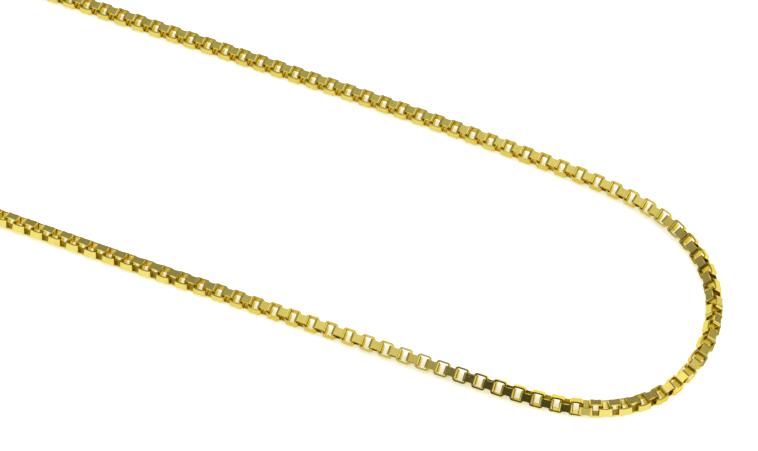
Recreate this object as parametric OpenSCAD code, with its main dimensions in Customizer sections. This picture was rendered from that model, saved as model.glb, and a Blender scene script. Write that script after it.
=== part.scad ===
// A box chain necklace laid on a flat surface as one long loop, with a plain box clasp.
// +X runs along the loop to its front bend, +Z is up, and the surface is z = 0.

/* [Link] */
// Outer size of a link across its two plates
link_h = 3; // [2.9:0.05:3.4]
// Outer size of a link along the chain
link_l = 2.76; // [2.7:0.01:2.95]
// Thickness of the strip that a link is bent from
strip_t = 0.35; // [0.3:0.01:0.36]
// Width of the strip at a link's corners
strip_w = 1.8; // [1.6:0.05:1.8]
// Depth of the hollow in each side edge of the strip, between two corners
waist = 0.1; // [0.05:0.01:0.15]
// Outer radius of a link's bent corners
bend_r = 0.6; // [0.4:0.02:0.6]
// Inner radius of a link's bent corners
inner_r = 0.2; // [0.14:0.02:0.2]
// Gap between the touching ends of two links
play = 0.11; // [0.11:0.01:0.2]

/* [Clasp] */
// Length of the clasp's body
clasp_l = 7; // [5:0.5:10]
// Width of the clasp's body
clasp_w = 4.8; // [4.6:0.1:6]
// Height of the clasp's body
clasp_h = 2.6; // [1.6:0.1:3]
// Radius of the body's upright corners
clasp_r = 1.2; // [0.4:0.1:2]
// Thickness of its two flat end loops
wire_d = 0.9; // [0.7:0.05:1]
// Width inside an end loop
loop_w = 2.5; // [2.4:0.1:2.7]
// Length inside an end loop
loop_l = 1.6; // [1:0.1:2.5]

/* [Hidden] */
$fn = 48;

// Points that the loop is drawn towards, from one side of the clasp to the other: [x, y]
ROUTE = [
    [-98, 14], [-93, 22], [-83.5, 27], [-72, 27], [-49, 26.5],
    [-29, 26.5], [-9, 26.5], [11, 26.5], [31, 26.3], [52, 25.6], [64, 25],
    [74, 24], [82, 22], [88.7, 18.7], [96, 12], [99.6, 2], [98.6, -8],
    [95, -16], [88, -22], [79, -25], [67, -26], [49, -26.1], [30, -26.1],
    [9, -26.2], [-9, -26.5], [-29, -26.5], [-49, -26.5],
    [-72, -27], [-83.5, -27], [-93, -22.5], [-98, -15],
];
// Middle of the clasp, which lies across the loop's back end: [x, y]
CLASP = [-99, -0.9];

// How the chain is turned about its own line: [share of its length, degrees]
SHARE = 0;
TURN = 1;
ROLLS = [
    [0, 0], [0.33, 2], [0.36, 6], [0.39, 12], [0.44, 26], [0.485, 48],
    [0.51, 69], [0.56, 113], [0.58, 130], [0.6, 140], [0.62, 149], [0.65, 157],
    [0.69, 167], [0.73, 180], [0.765, 192], [0.8, 199], [0.84, 204],
    [0.9, 202], [0.97, 184], [1, 180],
];
// Most that the chain's line rises or falls from one link to the next
EASE = 0.012;

// Half of the opening inside a link, along the chain
bore = link_l / 2 - strip_t;
// Distance from the middle of a loop's end bar to the middle of the link that hangs on it
hang = bore - play - wire_d / 2;
// Half of the way between the middles of the two end links, across the clasp
half_gap = clasp_l / 2 + loop_l + wire_d / 2 + hang;
// Spacing of the links where the chain runs straight
pitch = 2 * bore - play;
// How far from the chain's own line the ends of two links meet in a bend
reach = strip_w / sqrt(2);

// The loop as a smooth curve through even steps of a cubic spline
STEPS = 16;
LEAD = 2;
ENDS = concat(
    [CLASP + [0, half_gap], CLASP + [0, half_gap + LEAD]],
    ROUTE,
    [CLASP - [0, half_gap + LEAD], CLASP - [0, half_gap]]);
last = len(ENDS) - 1;
POLE = concat([2 * ENDS[0] - ENDS[1]], ENDS, [2 * ENDS[last] - ENDS[last - 1]]);
function blend(i, t) = (
    POLE[i] * pow(1 - t, 3)
    + POLE[i + 1] * (3 * pow(t, 3) - 6 * pow(t, 2) + 4)
    + POLE[i + 2] * (-3 * pow(t, 3) + 3 * pow(t, 2) + 3 * t + 1)
    + POLE[i + 3] * pow(t, 3)) / 6;
LINE = concat([for (i = [0:last - 1], j = [0:STEPS - 1]) blend(i, j / STEPS)], [ENDS[last]]);

// Each short piece of the curve: its run, its length and how far it turns from the piece before
RUN = [for (i = [1:len(LINE) - 1]) LINE[i] - LINE[i - 1]];
LONG = [for (r = RUN) norm(r)];
BEND = [for (i = [0:len(RUN) - 1])
    i == 0 ? 0 : asin(cross(RUN[i - 1], RUN[i]) / (LONG[i - 1] * LONG[i]))];
function sums(list) = [
    for (i = 0, s = 0; i <= len(list); s = s + (i < len(list) ? list[i] : 0), i = i + 1) s];
ALONG = sums(LONG);
HEADING = sums(BEND);
// The links stand closer in a bend, so that their ends stay clear of each other
LINKS_IN = [for (i = [0:len(RUN) - 1]) (LONG[i] + abs(BEND[i]) * PI / 180 * reach) / pitch];
COUNT = sums(LINKS_IN);
total = COUNT[len(COUNT) - 1];
// An odd number of links, so that both end links lie flat on the clasp's loops
links = 2 * ceil(total / 2) + 1;
start = atan2(RUN[0][1], RUN[0][0]);

// The curve's values by the count of links passed: x, y, heading and share of the length
function column(values) = [for (i = [0:len(COUNT) - 1]) [COUNT[i], values[i]]];
X_AT = column([for (p = LINE) p[0]]);
Y_AT = column([for (p = LINE) p[1]]);
HEAD_AT = column([for (h = HEADING) start + h]);
SHARE_AT = column([for (s = ALONG) s / ALONG[len(ALONG) - 1]]);
PLACE = [for (k = [0:links - 1]) total * k / (links - 1)];
ROLL = [for (at = PLACE) lookup(lookup(at, SHARE_AT), [for (r = ROLLS) [r[SHARE], r[TURN]]])];

// Height of each link at which its lowest edges touch the surface, and the same eased along the chain
REST = [for (turn = ROLL) let (c = abs(cos(turn)) / 2, s = abs(sin(turn)) / 2)
    max(link_h * c + strip_w * s, strip_w * c + link_h * s)];
HEIGHT = [for (k = [0:links - 1]) max([for (j = [0:links - 1]) REST[j] - EASE * abs(k - j)])];

module rounded(size, r) {
    square([size[0] - 2 * r, size[1]], center = true);
    square([size[0], size[1] - 2 * r], center = true);
    for (x = [-1, 1], y = [-1, 1])
        translate([x * (size[0] / 2 - r), y * (size[1] / 2 - r)]) circle(r);
}

// Cutters that hollow the strip's side edges over a straight stretch of the given half length
module hollow(half) {
    r = (pow(half, 2) + pow(waist, 2)) / (2 * waist);
    for (side = [-1, 1])
        translate([0, side * (strip_w / 2 - waist + r), 0])
            cylinder(r = r, h = 2 * link_h, center = true, $fn = 96);
}

// One link: a strip bent into a closed box, with its plates above and below
module link() {
    difference() {
        rotate([90, 0, 0]) linear_extrude(strip_w, center = true) difference() {
            rounded([link_l, link_h], bend_r);
            rounded([link_l - 2 * strip_t, link_h - 2 * strip_t], inner_r);
        }
        hollow(link_l / 2 - bend_r);
        rotate([0, 90, 0]) hollow(link_h / 2 - bend_r);
    }
}

module chain() {
    color([0.80, 0.68, 0.33])
        for (k = [0:links - 1])
            translate([lookup(PLACE[k], X_AT), lookup(PLACE[k], Y_AT), HEIGHT[k]])
                rotate([0, 0, lookup(PLACE[k], HEAD_AT)])
                    rotate([ROLL[k] + 90 * (k % 2), 0, 0]) link();
}

// A flat loop that stands out of the clasp's end, towards +X from its root inside the body
module end_loop() {
    root = clasp_r + 1.5 * wire_d;
    linear_extrude(wire_d, center = true) difference() {
        translate([(loop_l + wire_d - root) / 2, 0])
            rounded([root + loop_l + wire_d, loop_w + 2 * wire_d], 1.5 * wire_d);
        translate([(loop_l - clasp_r) / 2, 0])
            rounded([clasp_r + loop_l, loop_w], wire_d / 2);
    }
}

module clasp() {
    color([0.84, 0.71, 0.36])
        translate([CLASP[0], CLASP[1], clasp_h / 2]) rotate([0, 0, 90]) {
            linear_extrude(clasp_h, center = true) rounded([clasp_l, clasp_w], clasp_r);
            for (end = [0, 180])
                rotate([0, 0, end]) translate([clasp_l / 2, 0, 0]) end_loop();
        }
}

chain();
clasp();
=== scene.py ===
from math import cos, pi, radians, sin

import bmesh
import bpy
import numpy as np
from mathutils import Matrix, Vector


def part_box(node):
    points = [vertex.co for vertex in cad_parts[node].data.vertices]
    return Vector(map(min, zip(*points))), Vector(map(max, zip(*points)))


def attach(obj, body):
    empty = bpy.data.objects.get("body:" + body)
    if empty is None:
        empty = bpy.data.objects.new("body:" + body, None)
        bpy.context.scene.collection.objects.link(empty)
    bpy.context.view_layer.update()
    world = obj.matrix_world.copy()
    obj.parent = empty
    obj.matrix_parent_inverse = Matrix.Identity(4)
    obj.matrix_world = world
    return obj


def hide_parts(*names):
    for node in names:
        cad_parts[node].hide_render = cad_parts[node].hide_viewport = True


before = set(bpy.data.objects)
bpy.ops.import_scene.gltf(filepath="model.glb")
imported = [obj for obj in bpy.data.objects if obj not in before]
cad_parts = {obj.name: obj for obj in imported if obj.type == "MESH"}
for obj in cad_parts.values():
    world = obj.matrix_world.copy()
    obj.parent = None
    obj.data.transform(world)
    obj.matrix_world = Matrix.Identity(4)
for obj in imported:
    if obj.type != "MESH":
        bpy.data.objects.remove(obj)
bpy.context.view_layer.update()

MM = 0.001

# The camera, as the photograph was taken: its turn and rise in degrees, where it looks and its lens
VIEW_TURN = 21.35
VIEW_RISE = 60.0
VIEW_TARGET = Vector((30.0, -0.6, 1.6)) * MM
VIEW_DISTANCE = 597.4 * MM
SENSOR = 36.0
FOCAL_PX = 3000.0
IMAGE_WIDTH = 758
NEAR_CLIP = 10 * MM

# The strip that a link is bent from
STRIP_T = 0.35 * MM
BEND_R = 0.6 * MM
INNER_R = 0.2 * MM
WAIST = 0.1 * MM
# Rounding of the strip's edges, on a link's outside and on its inside
EDGE_OUT = 0.035 * MM
EDGE_IN = 0.03 * MM
# Steps through a bent corner, along the straight side after it and through a rounded edge
CORNER_STEPS = 6
SIDE_STEPS = 6
EDGE_STEPS = 2
# How far a link leans at most from its place in the chain, in degrees, and the seed of its lean and shade
LEAN = 0.5
SEED = 7

# Rounding of the edges of the clasp's body and of its end loops, and its steps
BODY_EDGE = 0.35 * MM
LOOP_EDGE = 0.2 * MM
ROUND_STEPS = 4
# Two of its faces are one face if they meet at less than FLAT degrees, and their edge is rounded if they
# meet at more than SHARP degrees
FLAT = 1.0
SHARP = 40.0
# The clasp's tone, on the scale on which each link has its own from 0 to 1
CLASP_SHADE = 0.6
# Points of the frame's meshes that are this close are one point
SAME_POINT = 0.0001 * MM

# The gold's tones from dull to clear, its tint at a grazing angle and its roughness from clear to worn
TONES = [(0.2, (0.65, 0.505, 0.095)), (0.5, (0.715, 0.585, 0.13)), (0.8, (0.735, 0.615, 0.15))]
GRAZING_TINT = (1, 0.8, 0.3, 1)
GLOSS = (0.11, 0.24)
# Size of its clouds, grain, scratches and pits, how much longer than wide a scratch is, and their relief
CLOUD_SIZE = 0.9 * MM
GRAIN_SIZE = 0.16 * MM
SCRATCH_SIZE = 0.07 * MM
SCRATCH_RUN = 9.0
PIT_SPACING = 0.5 * MM
RELIEF = 0.004 * MM
# Share of a link's own shade in the tone, and of the scratches in the wear and in the relief
SHADE_SHARE = 0.3
SCRATCH_WEAR = 0.4
SCRATCH_RELIEF = 0.5
# Values of the wear that look clear and fully worn
WEAR_RANGE = (0.3, 0.7)
# A pit's full and outer radius as shares of the spacing, and its depth next to the grain's
PIT_EDGE = (0.05, 0.16)
PIT_DEPTH = 2.0

# The floor: its size in metres, its colour and its glow; the glow's warm tint is painted bounce light,
# standing in for the light that gold throws onto the floor between the links
FLOOR_SIZE = 1.5
FLOOR_COLOR = (0.7, 0.72, 0.7, 1)
FLOOR_ROUGHNESS = 0.9
PAINTED_BOUNCE_TINT = (1, 0.93, 0.42, 1)
GLOW = 0.52
# Lamps that light only the floor: place, size and power, in metres and watts
FLOOR_LAMPS = [
    ((0.0, -0.3, 0.9), 0.9, 8.3),
    ((-0.5, 0.5, 0.8), 0.7, 4.2),
    ((0.7, 0.2, 0.7), 0.6, 4.8),
]
# Cool, so that together with the floor's warm painted bounce glow they make white in the open
LAMP_COLOR = (0.4, 0.48, 1.0)

# The light in the room: its even part, the least of it, and its soft patches (azimuth and elevation of
# the middle, angles from the middle at which the patch is full and gone, and what it adds)
ROOM = 0.385
DARKEST = 0.08
SOFT_LIGHTS = [
    (-160, 84, 12, 34, 0.62),
    (-6, 28, 12, 41, 0.8),
    (70, 64, 12, 18, 0.85),
    (-104, 43, 12, 33, -0.34),
    (-88, 15, 16, 34, -0.34),
]


def loose_solids(node):
    """The triangles of each loose solid in a CAD node, as arrays of corners."""
    bm = bmesh.new()
    bm.from_mesh(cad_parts[node].data)
    bmesh.ops.remove_doubles(bm, verts=bm.verts, dist=SAME_POINT)
    bmesh.ops.triangulate(bm, faces=bm.faces)
    seen = set()
    solids = []
    for first in bm.verts:
        if first in seen:
            continue
        seen.add(first)
        stack = [first]
        faces = set()
        while stack:
            for face in stack.pop().link_faces:
                faces.add(face)
                for vert in face.verts:
                    if vert not in seen:
                        seen.add(vert)
                        stack.append(vert)
        solids.append(np.array([[v.co[:] for v in f.verts] for f in faces], float))
    bm.free()
    return solids


def own_axes(tris):
    """Middle of a solid's surface and its axes, from the narrowest spread to the widest."""
    areas = np.linalg.norm(np.cross(tris[:, 1] - tris[:, 0], tris[:, 2] - tris[:, 0]), axis=1) / 2
    middle = (areas[:, None] * tris.mean(1)).sum(0) / areas.sum()
    local = tris - middle
    corners = np.einsum("t,tki,tkj->ij", areas, local, local)
    sums = local.sum(1)
    spread = (corners + np.einsum("t,ti,tj->ij", areas, sums, sums)) / 12
    return middle, np.linalg.eigh(spread)[1].T


def read_links():
    """Each link's middle, its axes (along the chain, across the strip, out of its plate) and its size.

    The links come in their order along the chain, from one side of the clasp to the other.
    """
    links = []
    for tris in loose_solids("chain"):
        middle, (across, along, out) = own_axes(tris)
        local = (tris.reshape(-1, 3) - middle) @ np.array([along, across, out]).T
        links.append((middle, along, across, out, np.ptp(local, axis=0)))
    low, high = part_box("clasp")
    here = np.array([(low.x + high.x) / 2, high.y, 0])
    chain = []
    while links:
        nearest = min(range(len(links)), key=lambda i: np.linalg.norm(links[i][0] - here))
        chain.append(links.pop(nearest))
        here = chain[-1][0]
    return chain


def edge_round(centre, radius, first):
    """Points and outward directions of a quarter circle that starts at the angle first."""
    angles = [first + pi / 2 * k / EDGE_STEPS for k in range(EDGE_STEPS + 1)]
    return [(centre[0] + radius * cos(a), centre[1] + radius * sin(a), cos(a), sin(a)) for a in angles]


def strip_section(width):
    """The strip's cross-section, rounded at its edges: place across, depth, and outward directions."""
    half = width / 2
    section = []
    for side, depth, radius, first in (
            (1, 0, EDGE_OUT, -pi / 2), (1, STRIP_T, EDGE_IN, 0),
            (-1, STRIP_T, EDGE_IN, pi / 2), (-1, 0, EDGE_OUT, pi)):
        inward = 1 if depth == 0 else -1
        section += edge_round((side * (half - radius), depth + inward * radius), radius, first)
    return section


def bend_angles(number):
    """Angles through one of a link's four bent corners."""
    return [pi / 2 * (number + k / CORNER_STEPS) for k in range(CORNER_STEPS + 1)]


def bent_outline(length, height, radius):
    """Points of a rounded rectangle: each corner, followed by the straight side after it."""
    x, z = length / 2 - radius, height / 2 - radius
    points = []
    for number, (sx, sz) in enumerate(((1, 1), (-1, 1), (-1, -1), (1, -1))):
        points += [(sx * x + radius * cos(a), sz * z + radius * sin(a)) for a in bend_angles(number)]
        start = points[-1]
        run = (-2 * sx * x, 0) if number % 2 == 0 else (0, -2 * sz * z)
        for k in range(1, SIDE_STEPS):
            points.append((start[0] + run[0] * k / SIDE_STEPS, start[1] + run[1] * k / SIDE_STEPS))
    return np.array(points)


def link_path(length, height):
    """Each step of the strip's run: outer point, inner point, outward direction and narrowing."""
    outer = bent_outline(length, height, BEND_R)
    inner = bent_outline(length - 2 * STRIP_T, height - 2 * STRIP_T, INNER_R)
    directions, narrowing = [], []
    for number in range(4):
        for a in bend_angles(number):
            directions.append((cos(a), sin(a)))
            narrowing.append(0.0)
        for k in range(1, SIDE_STEPS):
            directions.append(directions[-1])
            narrowing.append(1 - (2 * k / SIDE_STEPS - 1) ** 2)
    return list(zip(outer, inner, directions, narrowing))


def link_form(size):
    """One link about its own middle: points (along, across, out), their normals and its quads."""
    length, width, height = size
    points, normals = [], []
    path = link_path(length, height)
    for outer, inner, (dx, dz), narrowing in path:
        for across, depth, na, nd in strip_section(width - 2 * WAIST * narrowing):
            x, z = outer + (inner - outer) * depth / STRIP_T
            points.append((x, across, z))
            normals.append((-dx * nd, na, -dz * nd))
    ring = len(points) // len(path)
    quads = []
    for i in range(len(path)):
        j = (i + 1) % len(path)
        for k in range(ring):
            n = (k + 1) % ring
            quads.append((i * ring + k, i * ring + n, j * ring + n, j * ring + k))
    return np.array(points), np.array(normals), np.array(quads)


def add_piece(name, mesh):
    """A smooth mesh as an object in the scene."""
    mesh.polygons.foreach_set("use_smooth", np.ones(len(mesh.polygons), bool))
    piece = bpy.data.objects.new(name, mesh)
    bpy.context.scene.collection.objects.link(piece)
    return piece


def mark_metal(piece, shades, places):
    """Each point's shade and its place on its own link, which the gold's detail follows."""
    shade = piece.data.attributes.new("shade", "FLOAT", "POINT")
    shade.data.foreach_set("value", shades.astype(np.float32))
    place = piece.data.attributes.new("place", "FLOAT_VECTOR", "POINT")
    place.data.foreach_set("vector", places.astype(np.float32).ravel())


def chain_half(name, links, rng):
    """Every second link of the chain, as one piece."""
    all_points, all_normals, all_quads, shades, places = [], [], [], [], []
    count = 0
    for middle, along, across, out, size in links:
        points, normals, quads = link_form(size)
        lean = Matrix.Rotation(radians(rng.uniform(-LEAN, LEAN)), 3, "X")
        lean = lean @ Matrix.Rotation(radians(rng.uniform(-LEAN, LEAN)), 3, "Y")
        axes = np.array(lean) @ np.array([along, across, out])
        if np.linalg.det(axes) < 0:
            axes[1] = -axes[1]
        all_points.append(points @ axes + middle)
        all_normals.append(normals @ axes)
        all_quads.append(quads + count)
        shades.append(np.full(len(points), rng.uniform(0, 1)))
        places.append(points + rng.uniform(0, 1, 3))
        count += len(points)
    mesh = bpy.data.meshes.new(name)
    mesh.from_pydata(np.vstack(all_points).tolist(), [], np.vstack(all_quads).tolist())
    mesh.update()
    piece = add_piece(name, mesh)
    mesh.normals_split_custom_set_from_vertices(np.vstack(all_normals).tolist())
    mark_metal(piece, np.concatenate(shades), np.vstack(places))
    return piece


def clasp_piece():
    """The clasp with its faces joined up and its edges rounded."""
    bm = bmesh.new()
    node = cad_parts["clasp"]
    bm.from_mesh(node.data)
    bm.transform(node.matrix_world)
    bmesh.ops.remove_doubles(bm, verts=bm.verts, dist=SAME_POINT)
    bmesh.ops.dissolve_limit(bm, angle_limit=radians(FLAT), verts=bm.verts, edges=bm.edges)
    sharp = [e for e in bm.edges if len(e.link_faces) == 2 and e.calc_face_angle() > radians(SHARP)]
    heights = [v.co.z for v in bm.verts]
    ends = (min(heights), max(heights))
    rims = [e for e in sharp if all(min(abs(v.co.z - z) for z in ends) < SAME_POINT for v in e.verts)]
    loops = [e for e in sharp if e not in rims]
    for edges, offset, clamp in ((rims, BODY_EDGE, False), (loops, LOOP_EDGE, True)):
        bmesh.ops.bevel(bm, geom=edges, offset=offset, segments=ROUND_STEPS, profile=0.5,
                        affect="EDGES", clamp_overlap=clamp)
    mesh = bpy.data.meshes.new("clasp_body")
    bm.to_mesh(mesh)
    bm.free()
    piece = add_piece("clasp_body", mesh)
    places = np.array([v.co[:] for v in mesh.vertices])
    mark_metal(piece, np.full(len(places), CLASP_SHADE), places[:, (1, 0, 2)])
    return piece


def attribute(tree, name):
    """The node that reads a mesh's own values by their name."""
    node = tree.nodes.new("ShaderNodeAttribute")
    node.attribute_name = name
    return node


def noise(tree, place, size, detail):
    """Noise with features of about the given size."""
    node = tree.nodes.new("ShaderNodeTexNoise")
    node.inputs["Scale"].default_value = 1 / size
    node.inputs["Detail"].default_value = detail
    tree.links.new(place, node.inputs["Vector"])
    return node.outputs["Fac"]


def stretched(tree, place, run):
    """The place drawn out along the chain, so that marks there become long and thin."""
    node = tree.nodes.new("ShaderNodeVectorMath")
    node.operation = "MULTIPLY"
    node.inputs[1].default_value = (1 / run, 1, 1)
    tree.links.new(place, node.inputs[0])
    return node.outputs["Vector"]


def pit_field(tree, place):
    """Small round pits, a few to a link: PIT_DEPTH in a pit's middle and 0 outside it."""
    cells = tree.nodes.new("ShaderNodeTexVoronoi")
    cells.inputs["Scale"].default_value = 1 / PIT_SPACING
    tree.links.new(place, cells.inputs["Vector"])
    return mapped(tree, cells.outputs["Distance"], PIT_EDGE, (PIT_DEPTH, 0.0))


def mapped(tree, value, span, to_span):
    """The value, with its span carried over to another and held there."""
    node = tree.nodes.new("ShaderNodeMapRange")
    node.inputs["From Min"].default_value, node.inputs["From Max"].default_value = span
    node.inputs["To Min"].default_value, node.inputs["To Max"].default_value = to_span
    tree.links.new(value, node.inputs["Value"])
    return node.outputs["Result"]


def ramp(tree, value, stops):
    """Colour that runs through the stops, each a value and its colour."""
    node = tree.nodes.new("ShaderNodeValToRGB")
    elements = node.color_ramp.elements
    while len(elements) < len(stops):
        elements.new(0.5)
    for element, (at, color) in zip(elements, stops):
        element.position = at
        element.color = (*color, 1)
    tree.links.new(value, node.inputs["Fac"])
    return node.outputs["Color"]


def math_node(tree, operation, *values):
    """A Math node whose inputs are sockets or numbers."""
    node = tree.nodes.new("ShaderNodeMath")
    node.operation = operation
    for socket, value in zip(node.inputs, values):
        if isinstance(value, (int, float)):
            socket.default_value = value
        else:
            tree.links.new(value, socket)
    return node.outputs[0]


def blend(tree, first, second, share):
    """Two values mixed, with the given share of the second."""
    return math_node(tree, "MULTIPLY_ADD", first, 1 - share, math_node(tree, "MULTIPLY", second, share))


def gold(name):
    """Polished gold with a slightly uneven tone, fine scratches along the strip and small pits."""
    material = bpy.data.materials.new(name)
    material.use_nodes = True
    tree = material.node_tree
    shader = tree.nodes["Principled BSDF"]
    shader.inputs["Metallic"].default_value = 1
    shader.inputs["Specular Tint"].default_value = GRAZING_TINT
    place = attribute(tree, "place").outputs["Vector"]
    shade = attribute(tree, "shade").outputs["Fac"]

    clouds = noise(tree, place, CLOUD_SIZE, detail=3)
    grain = noise(tree, place, GRAIN_SIZE, detail=2)
    scratches = noise(tree, stretched(tree, place, SCRATCH_RUN), SCRATCH_SIZE, detail=2)
    pits = pit_field(tree, place)

    tone = blend(tree, clouds, shade, SHADE_SHARE)
    tree.links.new(ramp(tree, tone, TONES), shader.inputs["Base Color"])
    wear = blend(tree, clouds, scratches, SCRATCH_WEAR)
    tree.links.new(mapped(tree, wear, WEAR_RANGE, GLOSS), shader.inputs["Roughness"])

    height = math_node(tree, "SUBTRACT", blend(tree, grain, scratches, SCRATCH_RELIEF), pits)
    bump = tree.nodes.new("ShaderNodeBump")
    bump.inputs["Strength"].default_value = 1
    bump.inputs["Distance"].default_value = RELIEF
    tree.links.new(height, bump.inputs["Height"])
    tree.links.new(bump.outputs["Normal"], shader.inputs["Normal"])
    return material


def make_camera():
    turn, rise = radians(VIEW_TURN), radians(VIEW_RISE)
    ahead = Vector((-sin(turn) * cos(rise), cos(turn) * cos(rise), -sin(rise)))
    data = bpy.data.cameras.new("camera")
    data.sensor_width = SENSOR
    data.lens = FOCAL_PX / IMAGE_WIDTH * SENSOR
    data.clip_start = NEAR_CLIP
    camera = bpy.data.objects.new("camera", data)
    camera.location = VIEW_TARGET - ahead * VIEW_DISTANCE
    camera.rotation_euler = ahead.to_track_quat("-Z", "Y").to_euler()
    bpy.context.scene.collection.objects.link(camera)
    bpy.context.scene.camera = camera


def make_floor():
    material = bpy.data.materials.new("floor")
    material.use_nodes = True
    shader = material.node_tree.nodes["Principled BSDF"]
    shader.inputs["Base Color"].default_value = FLOOR_COLOR
    shader.inputs["Roughness"].default_value = FLOOR_ROUGHNESS
    shader.inputs["Specular IOR Level"].default_value = 0
    # Painted bounce light: the floor glows warm everywhere, so that in the shade between the links it
    # looks lit by light thrown from the gold
    shader.inputs["Emission Color"].default_value = PAINTED_BOUNCE_TINT
    shader.inputs["Emission Strength"].default_value = GLOW
    bm = bmesh.new()
    bmesh.ops.create_grid(bm, x_segments=1, y_segments=1, size=FLOOR_SIZE)
    mesh = bpy.data.meshes.new("floor")
    bm.to_mesh(mesh)
    bm.free()
    mesh.materials.append(material)
    floor = bpy.data.objects.new("floor", mesh)
    bpy.context.scene.collection.objects.link(floor)


def make_lamps():
    for number, (place, size, power) in enumerate(FLOOR_LAMPS, 1):
        light = bpy.data.lights.new(f"floor_lamp_{number}", "AREA")
        light.size = size
        light.energy = power
        light.color = LAMP_COLOR
        lamp = bpy.data.objects.new(light.name, light)
        lamp.location = place
        lamp.rotation_euler = (-Vector(place)).to_track_quat("-Z", "Y").to_euler()
        lamp.visible_glossy = False
        bpy.context.scene.collection.objects.link(lamp)


def make_room():
    """A soft white room whose light changes smoothly with the direction in the room."""
    world = bpy.data.worlds.new("room")
    bpy.context.scene.world = world
    world.use_nodes = True
    tree = world.node_tree
    direction = tree.nodes.new("ShaderNodeTexCoord").outputs["Generated"]
    light = ROOM
    for turn, rise, full, gone, amount in SOFT_LIGHTS:
        turn, rise = radians(turn), radians(rise)
        nearness = tree.nodes.new("ShaderNodeVectorMath")
        nearness.operation = "DOT_PRODUCT"
        tree.links.new(direction, nearness.inputs[0])
        nearness.inputs[1].default_value = (cos(turn) * cos(rise), sin(turn) * cos(rise), sin(rise))
        fade = tree.nodes.new("ShaderNodeMapRange")
        fade.interpolation_type = "SMOOTHSTEP"
        fade.inputs["From Min"].default_value = cos(radians(gone))
        fade.inputs["From Max"].default_value = cos(radians(full))
        fade.inputs["To Max"].default_value = amount
        tree.links.new(nearness.outputs["Value"], fade.inputs["Value"])
        light = math_node(tree, "ADD", fade.outputs["Result"], light)
    light = math_node(tree, "MAXIMUM", light, DARKEST)
    background = tree.nodes["Background"]
    background.inputs["Color"].default_value = (1, 1, 1, 1)
    tree.links.new(light, background.inputs["Strength"])


make_camera()
make_floor()
make_lamps()
make_room()

rng = np.random.default_rng(SEED)
chain = read_links()
chain_gold = gold("chain_gold")
for name, half in (("links_even", chain[0::2]), ("links_odd", chain[1::2])):
    piece = chain_half(name, half, rng)
    piece.data.materials.append(chain_gold)
    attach(piece, "root")
    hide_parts("chain")
clasp = clasp_piece()
clasp.data.materials.append(gold("clasp_gold"))
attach(clasp, "root")
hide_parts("clasp")

bpy.context.scene.view_settings.view_transform = "Standard"
